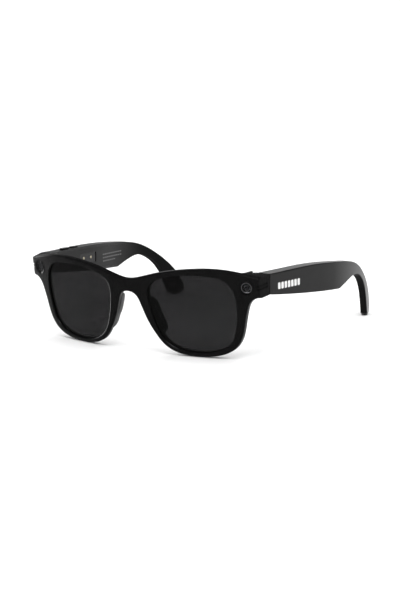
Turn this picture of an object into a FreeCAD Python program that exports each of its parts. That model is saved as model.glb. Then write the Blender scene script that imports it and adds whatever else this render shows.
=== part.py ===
import FreeCAD, Part
import math
import os

# Smart glasses: a camera front and two folding arms full of electronics. Millimetres.
# Axes while it is built: +X the wearer's left, +Y towards the ears, +Z up; x = 0 is the symmetry plane.
# Each left-hand piece is drawn at +X and mirrored for the right. The last step sets the glasses on a table.

Vector = FreeCAD.Vector
AXIS_X = Vector(1, 0, 0)
AXIS_Y = Vector(0, 1, 0)
AXIS_Z = Vector(0, 0, 1)
ORIGIN = Vector(0, 0, 0)

# Driving dimensions
FRONT_TILT = 9.9          # the front leans forward at the top, against the arms
REST_TILT = 3.48          # the arms slope down to their tips when the glasses stand on a table
WRAP_CURVE = 0.0013       # face of the front: y = curve * x^2 + slope * |x|, rounded at the bridge
WRAP_SLOPE = 0.0787
BRIDGE_ROUND = 8.0
HALF_WIDTH = 75.0         # half the width of the front
FRAME_DEPTH = 2.8         # front frame, from its face to the seam
RIM_DEPTH = 4.6           # front frame and rear cover together
COVER_STEP = 0.9          # how far the rear cover's outline stays inside the front frame's
SEAM_REACH = 68.6         # how far the seam runs to each side
LENS_INSET = 1.0          # lens face behind the frame's face
LENS_GROOVE = 0.6         # how far the lens reaches into the rim
LENS_CENTRE = (37.2, -6.0)
CORNER_X = 68.6           # middle of the camera and of the indicator
CORNER_Z = 9.3
JOINT_Y = 20.0            # where the front ends and the arms begin
JOINT_GAP = 0.3
HINGE_X = 67.9
HINGE_Y = 20.1
KNUCKLE_R = 1.7
PIN_R = 0.7
KNUCKLE_Z = (9.0, 11.4, 14.3, 17.75)   # lower, middle and upper knuckle, one above the other
KNUCKLE_GAP = 0.15
RELIEF_R = KNUCKLE_R + 0.25
FRONT_SCREW_X = 72.6      # the screws that hold the front half of each hinge
FRONT_SCREW_Z = (10.6, 14.4)
ARM_SCREW_Y = (25.0, 29.2)   # and the arm's half
ARM_SCREW_Z = 12.5
ARM_FACE_X = 76.0         # outer face of the arm at y = 15
ARM_SPLAY = 0.0546        # how much wider the arms stand per millimetre of length
ARM_BEND = 0.0035         # toe-in of the hook behind ARM_BEND_Y
ARM_BEND_Y = 77.2
COVER_DEPTH = 1.0         # inner cover of the arm
ARM_WALL = 1.4
EDGE_ROUND = 1.0
OPENING_ROUND = 0.5
REAR_ROUND = 0.7
BUTTON_TOP = 18.75
BUTTON_TRAVEL = 0.4
BUTTON_GAP = 0.15
BUTTONS = {"capture_button": 36.8, "power_button": 45.7}   # y of the middle of each button
BUTTON_LENGTHS = {"capture_button": 7.2, "power_button": 6.4}
CHARGER_Y = (47.2, 63.4)
CHARGER_Z = (8.0, 13.9)
PLATE_DEPTH = 0.35        # face of the charging plate behind the inner face of the arm
CONTACT_PLACES = ((51.2, 11.3), (58.4, 11.3))
CONTACT_R = 0.8
MAGNET_PLACES = (54.8, 61.6)

# Outline of the front, right half seen from behind, in the front's own plane (x, z)
BROW = [(0, 11.6), (10, 13.4), (22, 16.3), (33, 17.8), (47, 18.6), (60.7, 17.4), (71, 15.1), (75, 14.2)]
UNDERSIDE = [(75, 3.7), (72, 3.1), (69.6, 1.2), (67.9, -2.4), (65.8, -10.4), (63.6, -18.2), (60.0, -23.6),
             (52.6, -27.7), (40, -29.3), (28.6, -28.2), (20, -24.1), (14.8, -17.9), (10.3, -9.8),
             (7.1, -1.2), (4.6, 3.1), (0, 4.6)]
OPENING = [(12.3, 3), (14.6, 9.4), (21.5, 12.8), (30, 14.7), (39.5, 15.1), (49, 14.6), (56.2, 12.7),
           (60.6, 7.9), (62.3, -1), (61.0, -12.5), (57.5, -21), (50, -25.4), (38, -27.1), (27, -25.2),
           (19.4, -19.8), (14.7, -10)]
FLEX_LINE = [(-66, 12.4), (-56, 15.4), (-44, 16.5), (-30, 15.9), (-16, 12.7), (0, 9.6),
             (16, 12.7), (30, 15.9), (44, 16.5), (56, 15.4), (66, 12.4)]

# Side view of the arm (y, z)
ARM_TOP = [(20.3, 17.85), (38, 18.05), (56.5, 18.3), (76, 17.7), (90, 16.7), (101, 15.5), (108, 13.9),
           (115, 11.1), (122, 7.1), (130, 1.2), (136.5, -5.2), (140.6, -11), (142.6, -16.2)]
ARM_TIP = [(142.6, -16.2), (140.6, -19.2), (136.6, -20.1), (133.2, -18.6)]
HOOK_UNDERSIDE = [(133.2, -18.6), (130.6, -12.2), (127, -5.2), (121.3, 1.4), (113.8, 5.9), (106.4, 7.3),
                  (99, 5.9), (93, 4.0), (88.6, 2.55)]
ARM_STEP = [(88.6, 2.55), (87.2, 2.15), (85.6, 2.1)]
ARM_BOTTOM = [(85.6, 2.1), (66.4, 3.0), (47.4, 4.4), (29, 6.1), (20.3, 7.1)]
COVER_TOP = [(24, 16.6), (45, 17.0), (66, 16.8), (86, 15.5), (96.6, 14.0)]
COVER_BOTTOM = [(87, 3.2), (66, 4.2), (47, 5.6), (24, 7.8)]
COVER_REAR = [(96.6, 14.0), (96.6, 6.9), (87, 3.2)]
CAVITY_TOP = [(32.4, 16.0), (48, 16.2), (66, 16.0), (84, 14.8), (95.8, 13.2)]
CAVITY_BOTTOM = [(86.6, 4.0), (66, 5.0), (47, 6.4), (32.4, 7.7)]
CAVITY_REAR = [(95.8, 13.2), (95.8, 7.4), (86.6, 4.0)]


# Small tools

def at_xy(a, b):
    return Vector(a, b, 0)


def at_xz(a, b):
    return Vector(a, 0, b)


def at_yz(a, b):
    return Vector(0, a, b)


def curve_through(points, place, closed=False):
    curve = Part.BSplineCurve()
    curve.interpolate([place(a, b) for a, b in points], PeriodicFlag=closed)
    return curve.toShape()


def face_of(stretches, place):
    """A face bounded by stretches laid end to end; two points make a line, more make a curve."""
    edges = []
    for stretch in stretches:
        if len(stretch) == 2:
            edges.append(Part.makeLine(place(*stretch[0]), place(*stretch[1])))
        else:
            edges.append(curve_through(stretch, place))
    return Part.Face(Part.Wire(edges))


def polygon_of(points, place):
    return Part.Face(Part.makePolygon([place(a, b) for a, b in points + points[:1]]))


def swept(face, axis, start, end):
    """The face drawn in a plane through the origin, swept along axis from start to end."""
    moved = face.copy()
    moved.translate(axis * start)
    return moved.extrude(axis * (end - start))


def block(x, y, z):
    corner = Vector(min(x), min(y), min(z))
    return Part.makeBox(abs(x[1] - x[0]), abs(y[1] - y[0]), abs(z[1] - z[0]), corner)


def upright(x, y, z, radius):
    return Part.makeCylinder(radius, z[1] - z[0], Vector(x, y, z[0]), AXIS_Z)


def mirrored(shape):
    return shape.mirror(ORIGIN, AXIS_X)


def pulled_in(points, margin):
    """Points of a clockwise outline moved inwards by margin."""
    moved = []
    for i, (a, b) in enumerate(points):
        before = points[max(i - 1, 0)]
        after = points[min(i + 1, len(points) - 1)]
        along = (after[0] - before[0], after[1] - before[1])
        length = math.hypot(*along)
        moved.append((a + margin * along[1] / length, b - margin * along[0] / length))
    return moved


def mirrored_points(points):
    return [(-a, b) for a, b in reversed(points)]


def both_halves(half):
    """A symmetric line whose first point lies on the symmetry plane."""
    return mirrored_points(half[1:]) + half


def joined(shapes):
    result = shapes[0]
    for shape in shapes[1:]:
        result = result.fuse(shape)
    return result.removeSplitter()


def without(shape, tools):
    for tool in tools:
        shape = shape.cut(tool)
    return shape


def rounded(shape, radius, wanted):
    """Fillet the edges whose middle point satisfies wanted(x, y, z)."""
    edges = []
    for edge in shape.Edges:
        middle = edge.valueAt((edge.FirstParameter + edge.LastParameter) / 2)
        if wanted(middle.x, middle.y, middle.z):
            edges.append(edge)
    return shape.makeFillet(radius, edges)


def lone(shape):
    """The one solid of a boolean result."""
    return max(shape.Solids, key=lambda solid: solid.Volume)


# The front, drawn upright in its own frame and leaned forward afterwards

def wrap_y(x):
    return WRAP_CURVE * x * x + WRAP_SLOPE * math.hypot(x, BRIDGE_ROUND)


def wrap_line(depth, reach, step=7.0):
    count = int(round(reach / step))
    return [(reach * i / count, wrap_y(reach * i / count) + depth) for i in range(-count, count + 1)]


def wrap_layer(near, far, reach=SEAM_REACH):
    """Everything between two depths behind the face of the front."""
    front = wrap_line(near, reach)
    back = wrap_line(far, reach)
    face = face_of([front, [front[-1], back[-1]], back[::-1], [back[0], front[0]]], at_xy)
    return swept(face, AXIS_Z, -40, 40)


def leaned(shape):
    shape = shape.copy()
    shape.rotate(ORIGIN, AXIS_X, FRONT_TILT)
    return shape


def side_wall_x(y):
    return HALF_WIDTH + 0.1 + 0.144 * (y - 14.1)


def front_outline(margin=0.0):
    """The front's outline as a prism; margin pulls it in all round."""
    top = pulled_in(both_halves(BROW), margin)
    bottom = pulled_in(UNDERSIDE + mirrored_points(UNDERSIDE[:-1]), margin)
    end = 78.0
    right = [top[-1], (end, top[-1][1] - 0.4), (end, bottom[0][1] - 0.1), bottom[0]]
    left = [(-x, z) for x, z in reversed(right)]
    stretches = [top] + [right[i:i + 2] for i in range(3)] + [bottom] + [left[i:i + 2] for i in range(3)]
    return swept(face_of(stretches, at_xz), AXIS_Y, -5, 40)


def opening_prism(margin):
    """The lens opening, or the lens outline when margin is more than nothing."""
    points = []
    for x, z in OPENING:
        across = x - LENS_CENTRE[0]
        up = z - LENS_CENTRE[1]
        grow = 1 + margin / math.hypot(across, up)
        points.append((LENS_CENTRE[0] + across * grow, LENS_CENTRE[1] + up * grow))
    face = Part.Face(Part.Wire([curve_through(points, at_xz, closed=True)]))
    return swept(face, AXIS_Y, -5, 40)


def front_plan():
    """Plan of the front frame's rim: face, rounded corner, side wall, seam."""
    reach = HALF_WIDTH - 0.9
    face = wrap_line(0, reach)
    corner = [face[-1], (HALF_WIDTH - 0.2, wrap_y(HALF_WIDTH) + 0.1), (HALF_WIDTH + 0.1, 14.1)]
    side = [corner[-1], (side_wall_x(16.8), 16.8)]
    seam = wrap_line(FRAME_DEPTH, SEAM_REACH)
    end = [side[-1], seam[-1]]
    left = [(-x, y) for x, y in corner]
    stretches = [face, corner, side, end, seam[::-1], mirrored_points(end),
                 mirrored_points(side), left[::-1]]
    return swept(face_of(stretches, at_xy), AXIS_Z, -40, 40)


def endpiece_outline():
    points = [(63.2, 14.9), (78, 13.85), (78, 3.55), (71.5, 3.55), (68.5, 4.4), (63.2, 7.6)]
    return swept(polygon_of(points, at_xz), AXIS_Y, 0, 40)


def endpiece_shell():
    """The part of the endpiece behind the rim that belongs to the front frame."""
    plan = [(side_wall_x(15.0), 15.0), (side_wall_x(25.0), 25.0), (66.7, 25.0), (66.2, 20.0), (64.4, 16.4),
            (64.4, 12.2), (74.0, 14.2)]
    return swept(polygon_of(plan, at_xy), AXIS_Z, -40, 40).common(endpiece_outline())


def endpiece_lining():
    """The inner wall of the endpiece, which belongs to the rear cover."""
    inner = [(56.5, wrap_y(56.5) + RIM_DEPTH - 0.4), (59.5, 14.7), (62.6, 17.9), (64.4, 21.6), (65.1, 25.0)]
    plan = [inner, [(65.1, 25.0), (66.7, 25.0)], [(66.7, 25.0), (66.2, 20.0)], [(66.2, 20.0), (64.4, 16.4)],
            [(64.4, 16.4), (64.4, 13.6)], [(64.4, 13.6), inner[0]]]
    low = [(56.0, 16.5), (63.2, 14.9), (78, 13.85), (78, 3.55), (71.5, 3.55), (68.5, 4.4), (63.2, 7.6),
           (60.0, 10.5)]
    outline = swept(polygon_of(low, at_xz), AXIS_Y, 0, 40)
    return swept(face_of(plan, at_xy), AXIS_Z, -40, 40).common(outline)


def behind_joint():
    """Everything behind the plane where the front ends, in the arms' frame."""
    return block((-90, 90), (JOINT_Y, 60), (-40, 40))


def corner_frame():
    """Placement whose origin is on the face at the camera's middle and whose Z points out of it."""
    slope = 2 * WRAP_CURVE * CORNER_X + WRAP_SLOPE * CORNER_X / math.hypot(CORNER_X, BRIDGE_ROUND)
    turn = math.degrees(math.atan(slope))
    place = FreeCAD.Placement(Vector(CORNER_X, wrap_y(CORNER_X), CORNER_Z), FreeCAD.Rotation(AXIS_Z, turn))
    return place.multiply(FreeCAD.Placement(ORIGIN, FreeCAD.Rotation(AXIS_X, 90)))


def in_corner(shape):
    shape = shape.copy()
    shape.Placement = corner_frame().multiply(shape.Placement)
    return leaned(shape)


def disc(radius, top, bottom, hole=0.0):
    """A disc or ring in the corner frame between two depths behind the face."""
    solid = Part.makeCylinder(radius, bottom - top, Vector(0, 0, -bottom))
    if hole:
        solid = solid.cut(Part.makeCylinder(hole, bottom - top + 2, Vector(0, 0, -bottom - 1)))
    return solid


def flex_band(half_width):
    upper = [(x, z + half_width) for x, z in FLEX_LINE]
    lower = [(x, z - half_width) for x, z in FLEX_LINE]
    face = face_of([upper, [upper[-1], lower[-1]], lower[::-1], [lower[0], upper[0]]], at_xz)
    return swept(face, AXIS_Y, -5, 40)


def groove_cutter():
    """Two shallow grooves that run round the corner and along the side of the endpiece."""
    depth = 0.55
    plan = [(73.4, 11.0), (73.4, 12.95), (side_wall_x(14.4) - depth, 14.4),
            (side_wall_x(20.3) - depth, 20.3), (80, 20.3), (80, 11.0)]
    cutters = []
    for middle in (8.35, 10.15):
        strip = swept(polygon_of(plan, at_xy), AXIS_Z, middle - 0.4, middle + 0.4)
        cutters.append(strip)
    return cutters


def hinge_pocket():
    """Room behind the endpiece for the front half of the hinge and for the turning knuckle."""
    room = block((65.9, 74.6), (17.35, 21), (8.8, 16.25))
    return [room, upright(HINGE_X, HINGE_Y, (8.8, 22), RELIEF_R)]


def corner_cavity():
    """Room inside the endpiece for the camera or for the indicator, in the corner frame."""
    stem = disc(4.15, 1.0, 2.0)
    body = Part.makeBox(8.0, 8.0, 4.4, Vector(-4.0, -4.2, -6.0))
    return [in_corner(disc(4.15, -1.0, 1.0)), in_corner(stem), in_corner(body)]


def at_depth(depth):
    """True for points at one depth behind the face of the front."""
    return lambda x, y, z: abs(y - wrap_y(x) - depth) < 0.05


def opening_edge(depth):
    on_layer = at_depth(depth)
    return lambda x, y, z: on_layer(x, y, z) and 50 < abs(x) < 63 and -20 < z < 0


def front_frame():
    rim = rounded(front_plan().common(front_outline()), EDGE_ROUND, at_depth(0))
    rim = without(rim, [opening_prism(0), mirrored(opening_prism(0))])
    rim = rounded(rim, OPENING_ROUND, opening_edge(0))
    shell = joined([rim, endpiece_shell(), mirrored(endpiece_shell())])
    glazing = opening_prism(LENS_GROOVE + 0.03).common(wrap_layer(LENS_INSET, 12))
    cutters = [glazing] + groove_cutter()
    for cutter in cutters + [mirrored(cutter) for cutter in cutters]:
        shell = shell.cut(cutter)
    shell = shell.cut(flex_band(0.6).common(wrap_layer(FRAME_DEPTH - 0.5, FRAME_DEPTH + 2)))
    shell = leaned(shell)
    for cutter in hinge_pocket() + corner_cavity():
        shell = without(shell, [cutter, mirrored(cutter)])
    return lone(shell.cut(behind_joint()))


def rear_cover():
    rim = front_outline(COVER_STEP).common(wrap_layer(FRAME_DEPTH, RIM_DEPTH))
    rim = rounded(rim, REAR_ROUND, at_depth(RIM_DEPTH))
    rim = without(rim, [opening_prism(0), mirrored(opening_prism(0))])
    rim = rounded(rim, OPENING_ROUND, opening_edge(RIM_DEPTH))
    lining = without(endpiece_lining(), [opening_prism(0)])
    cover = joined([rim, lining, mirrored(lining)])
    cover = without(cover, [endpiece_shell(), mirrored(endpiece_shell())])
    cover = leaned(cover)
    for cutter in hinge_pocket() + corner_cavity():
        cover = without(cover, [cutter, mirrored(cutter)])
    return lone(cover.cut(behind_joint()))


def lens():
    glass = opening_prism(LENS_GROOVE).common(wrap_layer(LENS_INSET, FRAME_DEPTH))
    return leaned(glass)


def nose_pad():
    """A pad behind the rim that flares away from the nose towards the face."""
    front_y = 4.6
    rear_y = 10.2
    front = [(7.6, 0.4), (9.2, -4.4), (12.0, -10.8), (14.2, -15.2), (16.8, -19.0), (18.2, -18.2),
             (17.0, -13.2), (15.0, -7.6), (12.8, -1.8), (9.8, 1.4)]
    rear = [(9.3, -1.6), (10.6, -5.8), (12.8, -10.8), (14.8, -14.4), (16.6, -16.8), (17.6, -16.2),
            (16.6, -12.6), (14.9, -8.2), (13.2, -3.4), (11.0, -0.9)]
    middle = (14.2, -9.6)
    crown = [(x + (middle[0] - x) * 0.4, z + (middle[1] - z) * 0.4) for x, z in rear]
    sections = []
    for points, y in ((front, front_y), (rear, rear_y), (crown, rear_y + 0.7)):
        wire = Part.Wire([curve_through(points, at_xz, closed=True)])
        wire.translate(AXIS_Y * y)
        sections.append(wire)
    pad = Part.makeLoft(sections, True)
    return leaned(pad.cut(wrap_layer(-5, RIM_DEPTH)))


def front_hinge():
    """Screwed plate with the lower and upper knuckles."""
    low, middle, upper, top = KNUCKLE_Z
    plate = block((66.2, 74.2), (17.45, 18.5), (low, 16.0))
    spans = ((low, middle), (upper + KNUCKLE_GAP, top))
    pieces = [plate]
    for start, end in spans:
        pieces.append(upright(HINGE_X, HINGE_Y, (start, end), KNUCKLE_R))
        pieces.append(block((66.4, 69.4), (18.0, HINGE_Y - 0.3), (start, min(end, 16.0))))
    hinge = joined(pieces)
    relief = upright(HINGE_X, HINGE_Y, (middle, upper + KNUCKLE_GAP), RELIEF_R)
    bore = upright(HINGE_X, HINGE_Y, (0, 30), PIN_R + 0.01)
    sink = upright(HINGE_X, HINGE_Y, (top - 0.5, top + 1), 1.31)
    holes = [Part.makeCylinder(0.61, 4, Vector(FRONT_SCREW_X, 16, z), AXIS_Y) for z in FRONT_SCREW_Z]
    return without(hinge, [relief, bore, sink] + holes)


def front_hinge_screws():
    screws = []
    for z in FRONT_SCREW_Z:
        shaft = Part.makeCylinder(0.6, 2.6, Vector(FRONT_SCREW_X, 15.9, z), AXIS_Y)
        head = Part.makeCylinder(1.1, 0.5, Vector(FRONT_SCREW_X, 18.5, z), AXIS_Y)
        slot = block((FRONT_SCREW_X - 1.2, FRONT_SCREW_X + 1.2), (18.75, 19.2), (z - 0.15, z + 0.15))
        screws.append(joined([shaft, head]).cut(slot))
    return screws


def screw_holes():
    return [Part.makeCylinder(0.62, 3, Vector(FRONT_SCREW_X, 15.8, z), AXIS_Y) for z in FRONT_SCREW_Z]


def hinge_screw():
    top = KNUCKLE_Z[-1]
    screw = joined([upright(HINGE_X, HINGE_Y, (KNUCKLE_Z[0] + 0.2, top - 0.4), PIN_R),
                    upright(HINGE_X, HINGE_Y, (top - 0.5, top - 0.02), 1.28)])
    slot = block((HINGE_X - 1.0, HINGE_X + 1.0), (HINGE_Y - 0.15, HINGE_Y + 0.15), (top - 0.25, top + 1))
    return screw.cut(slot)


def corner_bezel():
    """Dished ring round the window."""
    ring = disc(4.1, -0.15, 1.0, 2.9)
    dish = Part.makeCone(2.9, 3.7, 0.5, Vector(0, 0, -0.35), AXIS_Z)
    return in_corner(ring.cut(dish))


def corner_window():
    return in_corner(disc(2.85, 0.3, 1.0))


def corner_ring():
    """Thin bright ring that clamps the window's edge."""
    return in_corner(disc(2.85, 0.12, 0.3, 2.5))


def camera_barrel():
    barrel = joined([disc(1.9, 1.05, 2.6), disc(2.6, 1.9, 2.9)])
    well = Part.makeCone(1.15, 1.7, 0.5, Vector(0, 0, -1.55), AXIS_Z)
    return in_corner(barrel.cut(well))


def camera_lens():
    """Front element of the camera: a small dome on the floor of the barrel's well."""
    radius = 1.5
    dome = Part.makeSphere(radius, Vector(0, 0, -2.57))
    return in_corner(dome.common(disc(radius, 0, 1.55)))


def camera_module():
    can = Part.makeBox(6.4, 6.4, 2.2, Vector(-3.2, -2.9, -5.1))
    board = Part.makeBox(6.8, 6.8, 0.5, Vector(-3.4, -3.0, -5.6))
    return in_corner(joined([can, board]))


def indicator_guide():
    guide = joined([disc(1.7, 1.05, 2.9), disc(2.4, 2.4, 2.9)])
    return in_corner(guide)


def indicator_board():
    board = Part.makeBox(6.8, 6.8, 0.6, Vector(-3.4, -3.0, -4.4))
    lamp = Part.makeBox(1.6, 1.6, 0.9, Vector(-0.8, -0.8, -3.9))
    return in_corner(joined([board, lamp]))


def front_flex():
    layer = wrap_layer(FRAME_DEPTH - 0.3, FRAME_DEPTH - 0.1)
    ends = block((-63, 63), (-10, 60), (-40, 40))
    return lone(leaned(flex_band(0.5).common(layer).common(ends)))


# The arm, in the arms' frame

def arm_face_x(y):
    return ARM_FACE_X + ARM_SPLAY * (y - 15) - ARM_BEND * max(y - ARM_BEND_Y, 0) ** 2


def arm_depth(y):
    """Thickness of the arm: full over the electronics, slim at the hook."""
    if y < 60:
        return 8.0 - 0.6 * (y - 20) / 40
    blend = min((y - 60) / 58, 1.0)
    return 7.4 - 3.2 * blend * blend * (3 - 2 * blend)


def arm_line(outward, inward):
    """Plan line of the arm: inward millimetres in from the outer face, or outward from the inner face."""
    points = []
    for y in [14 + 6 * i for i in range(23)]:
        if outward is None:
            points.append((arm_face_x(y) - inward, y))
        else:
            points.append((arm_face_x(y) - arm_depth(y) + outward, y))
    return points


def arm_layer(first, second):
    """Everything between two plan lines of the arm."""
    face = face_of([first, [first[-1], second[-1]], second[::-1], [second[0], first[0]]], at_xy)
    return swept(face, AXIS_Z, -40, 40)


def from_outer(depth):
    return arm_line(None, depth)


def from_inner(depth):
    return arm_line(depth, None)


def arm_profile():
    stretches = [ARM_TOP, ARM_TIP, HOOK_UNDERSIDE, ARM_STEP, ARM_BOTTOM, [ARM_BOTTOM[-1], ARM_TOP[0]]]
    return swept(face_of(stretches, at_yz), AXIS_X, 50, 95)


def cover_profile(margin=0.0):
    top = [(y, z - margin) for y, z in COVER_TOP]
    bottom = [(y, z + margin) for y, z in COVER_BOTTOM]
    top[0] = (top[0][0] + margin, top[0][1])
    bottom[-1] = (bottom[-1][0] + margin, bottom[-1][1])
    rear = [top[-1], (top[-1][0] - margin, COVER_REAR[1][1]), bottom[0]]
    stretches = [top, rear[0:2], rear[1:3], bottom, [bottom[-1], top[0]]]
    return swept(face_of(stretches, at_yz), AXIS_X, 50, 95)


def cavity_profile():
    front = [CAVITY_BOTTOM[-1], CAVITY_TOP[0]]
    stretches = [CAVITY_TOP, CAVITY_REAR[0:2], CAVITY_REAR[1:3], CAVITY_BOTTOM, front]
    return swept(face_of(stretches, at_yz), AXIS_X, 50, 95)


def arm_shell():
    """Outer shell: a tray that opens towards the head, with the solid ear hook behind it."""
    shell = arm_profile().common(arm_layer(from_inner(0), from_outer(0)))
    shell = rounded(shell, 0.8, lambda x, y, z: y > JOINT_Y + JOINT_GAP + 0.5 and x > arm_face_x(y) - 0.05)
    tray = cover_profile().common(arm_layer(from_inner(-4), from_inner(COVER_DEPTH + 0.02)))
    room = cavity_profile().common(arm_layer(from_inner(-4), from_outer(ARM_WALL)))
    slot = block((70.35, 71.4), (19, 31.5), (9.3, 15.7))
    relief = upright(HINGE_X, HINGE_Y, (6.5, 22), RELIEF_R + 0.1)
    web_room = block((66, 71.4), (19, 22.4), (KNUCKLE_Z[1] - 0.1, KNUCKLE_Z[2] + 0.4))
    channel = block((72.4, 73.0), (19, 33), (9.6, 13.2))
    sound = block((75.7, 77.2), (88.8, 94.4), (0, 9))
    breath = upright(73.4, 36.5, (0, 10), 0.45)
    holes = [Part.makeCylinder(0.56, 5, Vector(70, y, ARM_SCREW_Z), AXIS_X) for y in ARM_SCREW_Y]
    return lone(without(shell, [tray, room, slot, relief, web_room, channel, sound, breath] + holes))


def arm_cover():
    return cover_profile(0.06).common(arm_layer(from_inner(0), from_inner(COVER_DEPTH)))


def arm_hinge():
    """Leaf with the middle knuckle."""
    low = KNUCKLE_Z[1] + KNUCKLE_GAP
    high = KNUCKLE_Z[2]
    knuckle = upright(HINGE_X, HINGE_Y, (low, high), KNUCKLE_R)
    web = block((HINGE_X, 71.3), (HINGE_Y + 0.4, HINGE_Y + 1.7), (low, high))
    leaf = block((70.4, 71.3), (HINGE_Y + 0.4, 31.4), (9.4, 15.6))
    bore = upright(HINGE_X, HINGE_Y, (0, 30), PIN_R + 0.05)
    holes = [Part.makeCylinder(0.56, 5, Vector(68, y, ARM_SCREW_Z), AXIS_X) for y in ARM_SCREW_Y]
    sinks = [Part.makeCylinder(1.02, 0.5, Vector(70.4, y, ARM_SCREW_Z), AXIS_X) for y in ARM_SCREW_Y]
    return without(joined([knuckle, web, leaf]), [bore] + holes + sinks)


def arm_hinge_screws():
    screws = []
    for y in ARM_SCREW_Y:
        shaft = Part.makeCylinder(0.55, 3.6, Vector(70.8, y, ARM_SCREW_Z), AXIS_X)
        head = Part.makeCylinder(1.0, 0.45, Vector(70.42, y, ARM_SCREW_Z), AXIS_X)
        slot = block((70.3, 70.6), (y - 0.8, y + 0.8), (ARM_SCREW_Z - 0.15, ARM_SCREW_Z + 0.15))
        screws.append(joined([shaft, head]).cut(slot))
    return screws


def arm_slice(y, z, first, second):
    return block((50, 95), y, z).common(arm_layer(first, second))


def arm_board():
    board = arm_slice((33.2, 59.5), (7.9, 12.3), from_outer(2.4), from_outer(1.6))
    chips = [arm_slice((y, y + length), (8.5, 11.8), from_outer(3.5), from_outer(2.4))
             for y, length in ((38.5, 6.0), (46.5, 4.0), (53.0, 3.2))]
    return joined([board] + chips)


def arm_battery():
    return arm_slice((64.6, 83.4), (5.6, 14.4), from_inner(COVER_DEPTH + 0.2), from_outer(ARM_WALL + 0.2))


def arm_speaker():
    return arm_slice((84.2, 95.2), (8.2, 12.9), from_inner(COVER_DEPTH + 0.2), from_outer(ARM_WALL + 0.2))


def arm_speaker_mesh():
    outline = polygon_of([(87.9, 4.55), (95.0, 7.15), (95.0, 7.45), (87.9, 4.85)], at_yz)
    layer = arm_layer(from_inner(COVER_DEPTH + 0.2), from_outer(ARM_WALL + 0.1))
    return swept(outline, AXIS_X, 50, 95).common(layer)


def arm_microphone():
    return block((72.0, 74.6), (34.8, 38.2), (7.75, 8.85)).cut(upright(73.4, 36.5, (7, 8.3), 0.35))


def arm_flex():
    return block((72.6, 72.8), (20.6, 33.0), (9.7, 11.8))


# Pieces of the right arm only, drawn on the left side like the others

def button_x(y):
    return arm_face_x(y) - arm_depth(y) / 2


def stadium(y, x, length, width, z):
    """Upright slug with round ends that runs along the arm."""
    straight = (length - width) / 2
    slug = block((x - width / 2, x + width / 2), (y - straight, y + straight), z)
    ends = [upright(x, y + end, z, width / 2) for end in (-straight, straight)]
    return joined([slug] + ends)


def arm_button(name):
    y = BUTTONS[name]
    cap = stadium(y, button_x(y), BUTTON_LENGTHS[name], 2.8, (15.4, BUTTON_TOP))
    cap = rounded(cap, 0.25, lambda px, py, pz: pz > BUTTON_TOP - 0.01)
    flange = stadium(y, button_x(y), BUTTON_LENGTHS[name] + 0.9, 3.6, (15.3, 15.85))
    return joined([cap, flange])


def button_slots():
    slots = []
    for name, y in BUTTONS.items():
        length = BUTTON_LENGTHS[name] + 2 * BUTTON_GAP
        slots.append(stadium(y, button_x(y), length, 2.8 + 2 * BUTTON_GAP, (15, 22)))
    return slots


def button_switches():
    """Two switches on one small board; each plunger ends just under its button."""
    pieces = [block((71.9, 75.2), (33.4, 49.0), (12.7, 13.2))]
    for y in BUTTONS.values():
        x = button_x(y)
        pieces.append(block((x - 1.3, x + 1.3), (y - 1.6, y + 1.6), (13.2, 14.3)))
        pieces.append(upright(x, y, (14.3, 15.3 - BUTTON_TRAVEL - 0.05), 0.7))
    return joined(pieces)


def inner_x(y):
    return arm_face_x(y) - arm_depth(y)


def contact_pin(y, z, radius, first, second):
    """A pin across the arm between two depths behind the inner face."""
    return Part.makeCylinder(radius, second - first, Vector(inner_x(y) + first, y, z), AXIS_X)


def charging_plate():
    """Flat plate on the floor of the window in the inner cover."""
    start = CHARGER_Y[0] + 0.05
    end = CHARGER_Y[1] - 0.05
    behind = COVER_DEPTH + 0.25
    plan = [(inner_x(start) + PLATE_DEPTH, start), (inner_x(start) + behind, start),
            (inner_x(end) + behind, end), (inner_x(end) + PLATE_DEPTH, end)]
    plate = swept(polygon_of(plan, at_xy), AXIS_Z, CHARGER_Z[0] + 0.05, CHARGER_Z[1] - 0.05)
    pins = [contact_pin(y, z, CONTACT_R + 0.02, -1, 5) for y, z in CONTACT_PLACES]
    return without(plate, pins)


def charging_contacts():
    return [contact_pin(y, z, CONTACT_R, 0.25, COVER_DEPTH + 1.2) for y, z in CONTACT_PLACES]


def charging_magnets():
    front = from_inner(COVER_DEPTH + 0.3)
    back = from_inner(COVER_DEPTH + 1.4)
    return [arm_slice((y - 1.4, y + 1.4), (8.8, 13.2), front, back) for y in MAGNET_PLACES]


# Assembly

def front_pieces():
    frame = front_frame()
    for hole in screw_holes():
        frame = without(frame, [hole, mirrored(hole)])
    pieces = {
        "front_frame": frame,
        "rear_cover": rear_cover(),
        "lens_left": lens(),
        "lens_right": mirrored(lens()),
        "nose_pad_left": nose_pad(),
        "nose_pad_right": mirrored(nose_pad()),
        "camera_bezel": corner_bezel(),
        "camera_ring": corner_ring(),
        "camera_window": corner_window(),
        "camera_lens": camera_lens(),
        "camera_barrel": camera_barrel(),
        "camera_module": camera_module(),
        "indicator_bezel": mirrored(corner_bezel()),
        "indicator_window": mirrored(corner_window()),
        "indicator_light_guide": mirrored(indicator_guide()),
        "indicator_board": mirrored(indicator_board()),
        "front_flex_cable": front_flex(),
        "front_hinge_left": front_hinge(),
        "front_hinge_right": mirrored(front_hinge()),
        "hinge_pin_left": hinge_screw(),
        "hinge_pin_right": mirrored(hinge_screw()),
    }
    screws = front_hinge_screws()
    pieces["front_hinge_screws"] = Part.makeCompound(screws + [mirrored(screw) for screw in screws])
    return pieces


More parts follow.
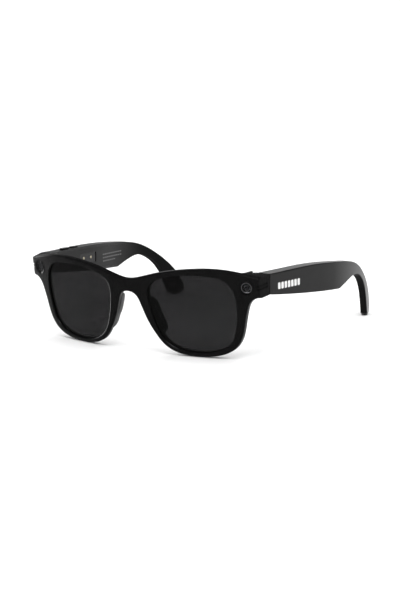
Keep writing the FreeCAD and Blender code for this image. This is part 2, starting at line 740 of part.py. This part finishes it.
def arm_pieces():
    shell = arm_shell()
    cover = arm_cover()
    window = arm_slice(CHARGER_Y, CHARGER_Z, from_inner(-1), from_inner(COVER_DEPTH + 1))
    common = {
        "hinge": arm_hinge(),
        "hinge_screws": Part.makeCompound(arm_hinge_screws()),
        "circuit_board": arm_board(),
        "battery": arm_battery(),
        "speaker": arm_speaker(),
        "speaker_mesh": arm_speaker_mesh(),
        "microphone": arm_microphone(),
        "flex_cable": arm_flex(),
    }
    pieces = {"temple_left_shell": shell, "temple_left_cover": cover}
    pieces["temple_right_shell"] = mirrored(without(shell, button_slots()))
    pieces["temple_right_cover"] = mirrored(cover.cut(window))
    for name, shape in common.items():
        pieces["temple_left_" + name] = shape
        pieces["temple_right_" + name] = mirrored(shape)
    for name in BUTTONS:
        pieces[name] = mirrored(arm_button(name))
    pieces["button_switches"] = mirrored(button_switches())
    pieces["charging_plate"] = mirrored(charging_plate())
    pieces["charging_contacts"] = mirrored(Part.makeCompound(charging_contacts()))
    pieces["charging_magnets"] = mirrored(Part.makeCompound(charging_magnets()))
    return pieces


def standing(pieces):
    """Tip the glasses back until rims and hooks touch the table, and centre them over the origin."""
    for shape in pieces.values():
        shape.rotate(ORIGIN, AXIS_X, -REST_TILT)
    box = Part.makeCompound(list(pieces.values())).optimalBoundingBox(False)
    middle_y = (box.YMin + box.YMax) / 2
    for shape in pieces.values():
        shape.translate(Vector(0, -middle_y, -box.ZMin))


def main():
    pieces = {**front_pieces(), **arm_pieces()}
    pieces = {name: shape.copy() for name, shape in pieces.items()}
    standing(pieces)
    os.makedirs("parts", exist_ok=True)
    for name, shape in pieces.items():
        shape.exportStep("parts/" + name + ".step")


if __name__ == "__main__":
    main()
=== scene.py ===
import math

import bmesh
import bpy
from mathutils import Matrix, Vector
from mathutils.bvhtree import BVHTree


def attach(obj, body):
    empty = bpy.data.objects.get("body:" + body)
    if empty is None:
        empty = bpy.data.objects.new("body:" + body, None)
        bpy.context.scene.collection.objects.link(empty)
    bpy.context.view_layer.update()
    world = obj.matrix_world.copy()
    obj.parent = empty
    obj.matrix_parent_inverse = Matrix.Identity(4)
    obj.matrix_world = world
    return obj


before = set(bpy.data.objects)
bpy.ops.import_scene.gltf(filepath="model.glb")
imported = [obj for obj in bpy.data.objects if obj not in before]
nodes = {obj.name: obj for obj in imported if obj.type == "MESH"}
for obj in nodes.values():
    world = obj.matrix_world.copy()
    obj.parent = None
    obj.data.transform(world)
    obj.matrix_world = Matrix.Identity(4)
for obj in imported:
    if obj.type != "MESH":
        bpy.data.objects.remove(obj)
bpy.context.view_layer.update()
MM = 0.001
WAVE_PERIOD = 0.314       # scale of a wave texture whose bands are one unit apart
WIRE_PITCH = 0.16         # wires of the speaker mesh, mm


# ---------------------------------------------------------------- node tools

class Tree:
    """Short names for building one material's nodes."""

    def __init__(self, name):
        self.material = bpy.data.materials.new(name)
        self.material.use_nodes = True
        self.tree = self.material.node_tree
        self.tree.nodes.clear()
        self.place = self.add("ShaderNodeTexCoord").outputs["Object"]

    def add(self, kind, **settings):
        node = self.tree.nodes.new(kind)
        for key, value in settings.items():
            setattr(node, key, value)
        return node

    def put(self, socket, value):
        if isinstance(value, bpy.types.NodeSocket):
            self.tree.links.new(value, socket)
        else:
            socket.default_value = value

    def noise(self, size_mm, detail=3.0, roughness=0.5, stretch=(1, 1, 1), distortion=0.0):
        """Noise whose features are about size_mm across; stretch above 1 squeezes them along that axis."""
        mapping = self.add("ShaderNodeMapping")
        self.put(mapping.inputs["Vector"], self.place)
        mapping.inputs["Scale"].default_value = stretch
        node = self.add("ShaderNodeTexNoise")
        self.put(node.inputs["Vector"], mapping.outputs["Vector"])
        node.inputs["Scale"].default_value = 1.0 / (size_mm * MM)
        node.inputs["Detail"].default_value = detail
        node.inputs["Roughness"].default_value = roughness
        node.inputs["Distortion"].default_value = distortion
        return node.outputs["Fac"]

    def cells(self, size_mm, feature="F1"):
        node = self.add("ShaderNodeTexVoronoi", feature=feature)
        self.put(node.inputs["Vector"], self.place)
        node.inputs["Scale"].default_value = 1.0 / (size_mm * MM)
        return node.outputs["Distance"]

    def bands(self, size_mm, axis="X", distortion=0.0):
        node = self.add("ShaderNodeTexWave", bands_direction=axis)
        self.put(node.inputs["Vector"], self.place)
        node.inputs["Scale"].default_value = WAVE_PERIOD / (size_mm * MM)
        node.inputs["Distortion"].default_value = distortion
        return node.outputs["Fac"]

    def between(self, value, low, high, start=0.3, end=0.7):
        """The value's range start..end spread over low..high."""
        node = self.add("ShaderNodeMapRange")
        self.put(node.inputs["Value"], value)
        node.inputs["From Min"].default_value = start
        node.inputs["From Max"].default_value = end
        node.inputs["To Min"].default_value = low
        node.inputs["To Max"].default_value = high
        return node.outputs["Result"]

    def maths(self, operation, a, b=0.0):
        node = self.add("ShaderNodeMath", operation=operation)
        self.put(node.inputs[0], a)
        self.put(node.inputs[1], b)
        return node.outputs[0]

    def blend(self, factor, a, b):
        """Colour a where factor is 0 and colour b where it is 1."""
        node = self.add("ShaderNodeMix", data_type="RGBA")
        self.put(node.inputs["Factor"], factor)
        for key, value in (("A", a), ("B", b)):
            socket = [s for s in node.inputs if s.name == key and s.type == "RGBA"][0]
            self.put(socket, value if isinstance(value, bpy.types.NodeSocket) else (*value, 1.0))
        return [s for s in node.outputs if s.type == "RGBA"][0]

    def bump(self, height, depth_mm, below=None):
        node = self.add("ShaderNodeBump")
        node.inputs["Strength"].default_value = 1.0
        node.inputs["Distance"].default_value = depth_mm * MM
        self.put(node.inputs["Height"], height)
        if below is not None:
            self.put(node.inputs["Normal"], below)
        return node.outputs["Normal"]

    def edges(self, radius_mm):
        """1 close to an edge and 0 on open faces."""
        bevel = self.add("ShaderNodeBevel", samples=4)
        bevel.inputs["Radius"].default_value = radius_mm * MM
        geometry = self.add("ShaderNodeNewGeometry")
        dot = self.add("ShaderNodeVectorMath", operation="DOT_PRODUCT")
        self.put(dot.inputs[0], bevel.outputs["Normal"])
        self.put(dot.inputs[1], geometry.outputs["Normal"])
        return self.between(dot.outputs["Value"], 1.0, 0.0, 0.9, 0.995)

    def finish(self, colour, roughness, normal=None, **plain):
        shader = self.add("ShaderNodeBsdfPrincipled")
        self.put(shader.inputs["Base Color"], colour)
        self.put(shader.inputs["Roughness"], roughness)
        if normal is not None:
            self.put(shader.inputs["Normal"], normal)
        for key, value in plain.items():
            shader.inputs[key.replace("_", " ")].default_value = value
        output = self.add("ShaderNodeOutputMaterial")
        self.put(output.inputs["Surface"], shader.outputs["BSDF"])
        return self.material


# ---------------------------------------------------------------- materials

LENS_LOW = (0.0185, 0.0185, 0.0190)      # tint at the bottom of the lens and at the brow
LENS_HIGH = (0.0140, 0.0140, 0.0144)
LENS_BAND = (0.004, 0.044)               # heights between which the tint changes, m


def moulded_plastic(name, dark, light, gloss, grain_mm, grain_depth, worn=0.0, specular=0.5):
    """Black moulded nylon: faint mottling, handling smears in the gloss, fine grain, polished edges."""
    t = Tree(name)
    mottle = t.between(t.noise(7.0, 4.0), 0.0, 1.0)
    speck = t.between(t.noise(0.5, 2.0), 0.0, 1.0, 0.45, 0.75)
    colour = t.blend(mottle, dark, light)
    colour = t.blend(t.maths("MULTIPLY", speck, 0.35), colour, tuple(c * 1.5 for c in light))
    smear = t.between(t.noise(11.0, 5.0, 0.62, (1, 0.45, 1.4), 0.6), gloss - 0.02, gloss + 0.03)
    fine = t.between(t.noise(0.9, 3.0), -0.012, 0.012)
    rough = t.maths("ADD", smear, fine)
    if worn:
        edge = t.maths("MULTIPLY", t.edges(0.45), t.between(t.noise(2.2, 4.0), 0.2, 1.0))
        rough = t.maths("SUBTRACT", rough, t.maths("MULTIPLY", edge, worn))
        colour = t.blend(t.maths("MULTIPLY", edge, 0.5), colour, tuple(c * 2.2 for c in light))
    waves = t.bump(t.noise(9.0, 0.0), 0.004)
    grain = t.bump(t.noise(grain_mm, 2.0), grain_depth, waves)
    return t.finish(colour, rough, grain, IOR=1.5, Specular_IOR_Level=specular)


def tinted_lens():
    """Dark grey sunglass lens, a shade darker towards the brow, with a hard coat and faint smears."""
    t = Tree("lens_tint")
    split = t.add("ShaderNodeSeparateXYZ")
    t.put(split.inputs["Vector"], t.place)
    height = t.between(split.outputs["Z"], 0.0, 1.0, *LENS_BAND)
    cloud = t.between(t.noise(14.0, 2.0), -0.08, 0.08)
    shade = t.maths("ADD", height, cloud)
    colour = t.blend(shade, LENS_LOW, LENS_HIGH)
    rough = t.between(t.noise(9.0, 5.0, 0.6, (1, 1, 0.6), 0.8), 0.015, 0.06)
    normal = t.bump(t.noise(18.0, 0.0), 0.006)
    return t.finish(colour, rough, normal, Transmission_Weight=1.0, IOR=1.5, Specular_IOR_Level=0.4)


def clear_window(name, tint_a, tint_b):
    t = Tree(name)
    colour = t.blend(t.between(t.noise(1.6, 2.0), 0.0, 1.0), tint_a, tint_b)
    rough = t.between(t.noise(1.2, 4.0), 0.01, 0.05)
    return t.finish(colour, rough, t.bump(t.noise(3.0, 0.0), 0.002), Transmission_Weight=1.0, IOR=1.5)


def coated_dome():
    """The camera's own lens: glass under a pale grey coating, with a clear coat on top."""
    t = Tree("coated_glass")
    colour = t.blend(t.between(t.noise(0.5, 2.0), 0.0, 1.0), (0.20, 0.20, 0.22), (0.30, 0.30, 0.32))
    return t.finish(colour, t.between(t.noise(0.4), 0.08, 0.16), t.bump(t.noise(0.9, 0.0), 0.001),
                    Coat_Weight=1.0, Coat_Roughness=0.03)


def metal(name, dark, light, rough, brushed=(1, 1, 1), depth=0.004, scale=0.25):
    t = Tree(name)
    streak = t.noise(scale, 4.0, 0.6, brushed)
    colour = t.blend(t.between(streak, 0.0, 1.0), dark, light)
    dull = t.between(t.noise(1.8, 5.0), rough - 0.06, rough + 0.1)
    return t.finish(colour, dull, t.bump(streak, depth), Metallic=1.0)


def circuit_board():
    t = Tree("board_green")
    track = t.between(t.cells(0.9, "DISTANCE_TO_EDGE"), 1.0, 0.0, 0.02, 0.09)
    mask = t.blend(t.between(t.noise(1.1), 0.0, 1.0), (0.004, 0.055, 0.022), (0.008, 0.085, 0.035))
    colour = t.blend(t.maths("MULTIPLY", track, 0.7), mask, (0.02, 0.17, 0.06))
    pads = t.between(t.cells(0.55), 1.0, 0.0, 0.10, 0.16)
    colour = t.blend(pads, colour, (0.62, 0.44, 0.16))
    rough = t.between(t.noise(0.8), 0.28, 0.42)
    return t.finish(colour, rough, t.bump(t.maths("ADD", track, pads), 0.02))


def battery_foil():
    t = Tree("battery_foil")
    crease = t.noise(1.7, 5.0, 0.65, (1, 0.6, 1), 1.2)
    colour = t.blend(t.between(crease, 0.0, 1.0), (0.42, 0.43, 0.45), (0.68, 0.69, 0.72))
    rough = t.between(t.noise(0.9), 0.25, 0.42)
    return t.finish(colour, rough, t.bump(crease, 0.06), Metallic=0.85)


def woven_mesh():
    t = Tree("mesh_steel")
    along = t.bands(WIRE_PITCH, "Y")
    across = t.bands(WIRE_PITCH, "X")
    weave = t.maths("MAXIMUM", along, across)
    hole = t.between(weave, 1.0, 0.0, 0.35, 0.6)
    colour = t.blend(hole, (0.13, 0.13, 0.135), (0.004, 0.004, 0.004))
    rough = t.between(t.noise(0.6), 0.34, 0.5)
    return t.finish(colour, rough, t.bump(weave, 0.06), Metallic=0.7)


def flex_film():
    t = Tree("flex_amber")
    tracks = t.bands(0.32, "Z", 0.6)
    colour = t.blend(t.between(tracks, 0.0, 1.0, 0.4, 0.6), (0.33, 0.10, 0.012), (0.52, 0.22, 0.04))
    colour = t.blend(t.between(t.noise(3.0), 0.0, 0.35), colour, (0.22, 0.06, 0.008))
    return t.finish(colour, t.between(t.noise(1.0), 0.26, 0.4), t.bump(tracks, 0.012))


def ridged_black():
    """The camera barrel: matt black with fine tool marks."""
    t = Tree("optics_black")
    ring = t.noise(0.12, 1.0, 0.5, (0.2, 1, 1))
    colour = t.blend(t.between(t.noise(0.7), 0.0, 1.0), (0.004, 0.004, 0.0045), (0.012, 0.012, 0.013))
    return t.finish(colour, t.between(t.noise(0.5), 0.3, 0.5), t.bump(ring, 0.01))


def speaker_cone():
    t = Tree("speaker_black")
    fibre = t.noise(0.35, 4.0, 0.7, (1, 2.2, 0.6))
    colour = t.blend(t.between(fibre, 0.0, 1.0), (0.008, 0.008, 0.009), (0.028, 0.028, 0.03))
    return t.finish(colour, t.between(t.noise(0.9), 0.5, 0.72), t.bump(fibre, 0.03))


def ink(name, dark, light):
    """Pad-printed ink: slightly uneven cover, a dry surface."""
    t = Tree(name)
    cover = t.between(t.noise(0.45, 4.0), 0.0, 1.0)
    colour = t.blend(cover, dark, light)
    return t.finish(colour, t.between(t.noise(0.3), 0.42, 0.6), t.bump(t.noise(0.12), 0.006))


FINISHES = {
    "frame_plastic": moulded_plastic("frame_plastic", (0.0030, 0.0030, 0.0031), (0.0048, 0.0048, 0.0050),
                                     0.24, 0.16, 0.0010, worn=0.08, specular=0.42),
    "arm_plastic": moulded_plastic("arm_plastic", (0.0034, 0.0034, 0.0035), (0.0054, 0.0054, 0.0056),
                                   0.31, 0.18, 0.0016, worn=0.09, specular=0.42),
    "cover_plastic": moulded_plastic("cover_plastic", (0.0040, 0.0040, 0.0042), (0.0066, 0.0066, 0.0068),
                                     0.40, 0.22, 0.0030, specular=0.4),
    "pad_plastic": moulded_plastic("pad_plastic", (0.0038, 0.0038, 0.0040), (0.0062, 0.0062, 0.0064),
                                   0.36, 0.20, 0.0024, specular=0.4),
    "button_gloss": moulded_plastic("button_gloss", (0.0026, 0.0026, 0.0027), (0.0042, 0.0042, 0.0043),
                                    0.20, 0.15, 0.0008, worn=0.06, specular=0.5),
    "bezel_gloss": moulded_plastic("bezel_gloss", (0.0020, 0.0020, 0.0021), (0.0034, 0.0034, 0.0035),
                                   0.13, 0.20, 0.0004, specular=0.5),
    "lens_tint": tinted_lens(),
    "window_glass": clear_window("window_glass", (0.16, 0.16, 0.17), (0.22, 0.22, 0.23)),
    "coated_glass": coated_dome(),
    "guide_clear": clear_window("guide_clear", (0.10, 0.10, 0.10), (0.16, 0.16, 0.16)),
    "optics_black": ridged_black(),
    "board_green": circuit_board(),
    "battery_foil": battery_foil(),
    "speaker_black": speaker_cone(),
    "mesh_steel": woven_mesh(),
    "mic_can": metal("mic_can", (0.50, 0.50, 0.50), (0.70, 0.69, 0.67), 0.32),
    "flex_amber": flex_film(),
    "ring_steel": metal("ring_steel", (0.60, 0.60, 0.61), (0.80, 0.80, 0.81), 0.30, depth=0.001),
    "hinge_steel": metal("hinge_steel", (0.16, 0.16, 0.165), (0.36, 0.36, 0.37), 0.34, (1, 1, 0.15)),
    "contact_gold": metal("contact_gold", (0.70, 0.62, 0.46), (0.88, 0.80, 0.62), 0.24),
    "magnet_nickel": metal("magnet_nickel", (0.52, 0.51, 0.48), (0.72, 0.70, 0.66), 0.28),
}

for node in nodes.values():
    for place in node.material_slots:
        place.material = FINISHES[place.material.name.split(".")[0]]


# ---------------------------------------------------------------- printed marks

ARM_SLOPE = -0.0607       # the arms sink towards the hooks as the glasses stand
INK_FILM = 0.03 * MM      # ink above the surface
INK_ROOT = 0.05 * MM      # and how deep its edge is set into it
CORNER_STEPS = 4

def rounded_bar(centre, size, corner):
    """Outline of an upright bar with rounded corners, as (y, z) points."""
    y, z = centre
    half_y, half_z = size[0] / 2 - corner, size[1] / 2 - corner
    outline = []
    for turn, (side_y, side_z) in enumerate(((1, 1), (-1, 1), (-1, -1), (1, -1))):
        for step in range(CORNER_STEPS + 1):
            angle = math.radians(90 * turn + 90 / CORNER_STEPS * step)
            outline.append((y + side_y * half_y + corner * math.cos(angle),
                            z + side_z * half_z + corner * math.sin(angle)))
    return outline


def printed(name, bars, on, body, finish):
    """Thin ink bars on the face of a node that looks along +X."""
    surface = BVHTree.FromObject(nodes[on], bpy.context.evaluated_depsgraph_get())
    mesh = bmesh.new()

    def on_face(y, z, start):
        point, normal, _, _ = surface.ray_cast(Vector((start, y, z)), Vector((-1, 0, 0)))
        return point, normal

    for start, centre, size, corner in bars:
        rings = []
        for shrink, lift in ((1.0, -INK_ROOT), (1.0, INK_FILM * 0.6), (0.93, INK_FILM)):
            scaled = (size[0] * shrink, size[1] * shrink)
            ring = []
            for y, z in rounded_bar(centre, scaled, corner * shrink):
                point, normal = on_face(y, z, start)
                ring.append(mesh.verts.new(point + normal * lift))
            rings.append(ring)
        count = len(rings[0])
        for low, high in zip(rings, rings[1:]):
            for i in range(count):
                mesh.faces.new((low[i], low[(i + 1) % count], high[(i + 1) % count], high[i]))
        mesh.faces.new(rings[-1])
        mesh.faces.new(rings[0][::-1])
    bmesh.ops.recalc_face_normals(mesh, faces=mesh.faces)
    data = bpy.data.meshes.new(name)
    mesh.to_mesh(data)
    mesh.free()
    piece = bpy.data.objects.new(name, data)
    bpy.context.scene.collection.objects.link(piece)
    data.materials.append(finish)
    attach(piece, body)


def row_of_bars(start, first, pitch, count, size, corner):
    """Equal bars side by side along the arm, from the (y, z) middle of the first one."""
    bars = []
    for index in range(count):
        y = first[0] + pitch * index
        z = first[1] + ARM_SLOPE * pitch * index
        bars.append((start * MM, (y * MM, z * MM), (size[0] * MM, size[1] * MM), corner * MM))
    return bars


printed("temple_left_print", row_of_bars(90, (-41.4, 37.5), 2.95, 7, (2.15, 3.5), 0.6),
        "temple_left_shell", "temple_left", ink("ink_white", (0.78, 0.78, 0.78), (0.92, 0.92, 0.91)))
small = []
for height, count in ((35.4, 9), (33.4, 9), (31.4, 6)):
    small += row_of_bars(-60, (1.6, height), 2.3, count, (1.7, 0.7), 0.2)
printed("temple_right_print", small, "temple_right_cover", "temple_right",
        ink("ink_grey", (0.10, 0.10, 0.10), (0.17, 0.17, 0.17)))


# ---------------------------------------------------------------- studio

FLOOR_HALF = 20           # m
FLOOR_DROP = 0.2 * MM     # the floor stays this far under the glasses
CAMERA_AT = (0.4806, -0.68915, 0.19461)
CAMERA_RIGHT = (0.8226, 0.56755, -0.03451)
CAMERA_BACK = (0.5612, -0.80077, 0.20929)
CAMERA_LENS = 90.79       # mm, on a sensor 36 mm wide

def area_light(name, at, target, size, power):
    light = bpy.data.lights.new(name, "AREA")
    light.shape = "RECTANGLE"
    light.size, light.size_y = size
    light.energy = power
    lamp = bpy.data.objects.new(name, light)
    lamp.location = at
    lamp.rotation_euler = (Vector(target) - Vector(at)).to_track_quat("-Z", "Y").to_euler()
    bpy.context.scene.collection.objects.link(lamp)


def pale_floor():
    mesh = bmesh.new()
    bmesh.ops.create_grid(mesh, x_segments=8, y_segments=8, size=FLOOR_HALF)
    data = bpy.data.meshes.new("studio_floor")
    mesh.to_mesh(data)
    mesh.free()
    floor = bpy.data.objects.new("studio_floor", data)
    floor.location.z = -FLOOR_DROP
    bpy.context.scene.collection.objects.link(floor)
    t = Tree("studio_paper")
    colour = t.blend(t.between(t.noise(60.0, 3.0), 0.0, 1.0), (0.86, 0.86, 0.86), (0.88, 0.88, 0.88))
    floor.data.materials.append(t.finish(colour, 0.9, Specular_IOR_Level=0.0))
    floor.visible_glossy = False


def sky():
    """Pale paper low behind, a brighter panel low at the wearer's right, and a dark room elsewhere."""
    world = bpy.data.worlds.new("studio")
    bpy.context.scene.world = world
    world.use_nodes = True
    tree = world.node_tree
    tree.nodes.clear()
    split = tree.nodes.new("ShaderNodeSeparateXYZ")
    tree.links.new(tree.nodes.new("ShaderNodeTexCoord").outputs["Generated"], split.inputs["Vector"])

    def zone(axis, start, end, low, high):
        ramp = tree.nodes.new("ShaderNodeMapRange")
        ramp.interpolation_type = "SMOOTHSTEP"
        tree.links.new(split.outputs[axis], ramp.inputs["Value"])
        for key, value in (("From Min", start), ("From Max", end), ("To Min", low), ("To Max", high)):
            ramp.inputs[key].default_value = value
        return ramp.outputs["Result"]

    def combined(operation, a, b):
        node = tree.nodes.new("ShaderNodeMath")
        node.operation = operation
        for socket, value in zip(node.inputs, (a, b)):
            if isinstance(value, float):
                socket.default_value = value
            else:
                tree.links.new(value, socket)
        return node.outputs[0]

    behind = zone("Y", 0.62, 1.0, 0.0, 1.5)
    beside = combined("MULTIPLY", zone("X", -0.99, -0.80, 6.5, 0.0), zone("Y", -0.25, 0.0, 0.0, 1.0))
    low = zone("Z", 0.12, 0.45, 1.0, 0.0)
    room = zone("Z", 0.0, 0.45, 0.15, 0.02)
    paper = combined("MULTIPLY", combined("ADD", behind, beside), low)
    light = combined("ADD", paper, room)
    background = tree.nodes.new("ShaderNodeBackground")
    output = tree.nodes.new("ShaderNodeOutputWorld")
    tree.links.new(light, background.inputs["Strength"])
    tree.links.new(background.outputs["Background"], output.inputs["Surface"])


def overhead_sun(strength, spread):
    light = bpy.data.lights.new("overhead", "SUN")
    light.energy = strength
    light.angle = math.radians(spread)
    lamp = bpy.data.objects.new("overhead", light)
    lamp.visible_glossy = False
    bpy.context.scene.collection.objects.link(lamp)


def camera():
    """A long lens in front of the glasses, above them and towards the wearer's left."""
    right = Vector(CAMERA_RIGHT).normalized()
    back = Vector(CAMERA_BACK).normalized()
    up = back.cross(right).normalized()
    right = up.cross(back)
    data = bpy.data.cameras.new("camera")
    data.lens = CAMERA_LENS
    data.sensor_width = 36
    view = bpy.data.objects.new("camera", data)
    turn = Matrix((right, up, back)).transposed().to_4x4()
    view.matrix_world = Matrix.Translation(CAMERA_AT) @ turn
    bpy.context.scene.collection.objects.link(view)
    bpy.context.scene.camera = view


pale_floor()
sky()
overhead_sun(4.3, 110)
area_light("top_strip", (0.35, -0.35, 0.9), (0, 0, 0.03), (0.25, 0.5), 2.5)
camera()
bpy.context.scene.view_settings.view_transform = "Standard"
